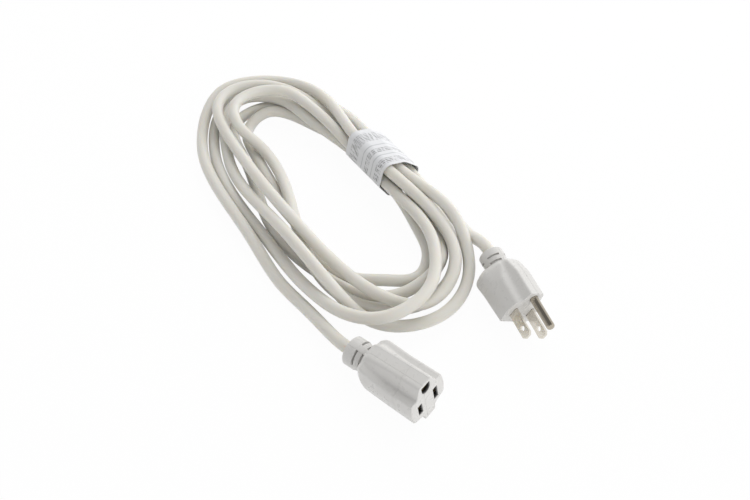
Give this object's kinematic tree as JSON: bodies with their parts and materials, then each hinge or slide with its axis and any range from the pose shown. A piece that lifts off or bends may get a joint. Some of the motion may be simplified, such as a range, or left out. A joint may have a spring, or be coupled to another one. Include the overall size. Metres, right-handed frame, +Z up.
{
  "type": "extension cord",
  "caption": "Three-conductor extension cord put away as an oval hank, with a grounded plug, a grounded outlet connector and a paper wrap.",
  "frame": {"origin": "centre of the bounding box's footprint, on the surface that the hank, plug and connector lie on", "axes": "+Z up; +X along the hank towards the plug and connector; +Y across it towards the side with the wrap and the plug"},
  "size_m": [0.2992, 0.1244, 0.031],
  "materials": {
    "cord_jacket": "satin off-white vinyl",
    "moulded_vinyl": "soft semi-gloss white vinyl",
    "nylon": "natural",
    "nickel_plating": "nickel-plated brass",
    "contact_brass": "bare",
    "copper": "bare copper strands",
    "black_insulation": "satin",
    "white_insulation": "satin",
    "green_insulation": "satin",
    "paper": "coated label paper"
  },
  "bodies": {
    "root": {"cord_hank": "cord_jacket", "cord_plug_lead": "cord_jacket", "cord_connector_lead": "cord_jacket", "plug_overmould": "moulded_vinyl", "plug_inner_block": "nylon", "line_blade": "nickel_plating", "neutral_blade": "nickel_plating", "ground_pin": "nickel_plating", "plug_line_strands": "copper", "plug_neutral_strands": "copper", "plug_ground_strands": "copper", "plug_line_wire": "black_insulation", "plug_neutral_wire": "white_insulation", "plug_ground_wire": "green_insulation", "connector_overmould": "moulded_vinyl", "connector_front_block": "moulded_vinyl", "connector_line_contact": "contact_brass", "connector_neutral_contact": "contact_brass", "connector_ground_contact": "contact_brass", "connector_line_strands": "copper", "connector_neutral_strands": "copper", "connector_ground_strands": "copper", "connector_line_wire": "black_insulation", "connector_neutral_wire": "white_insulation", "connector_ground_wire": "green_insulation", "hank_wrap": "paper"}
  },
  "joints": []
}
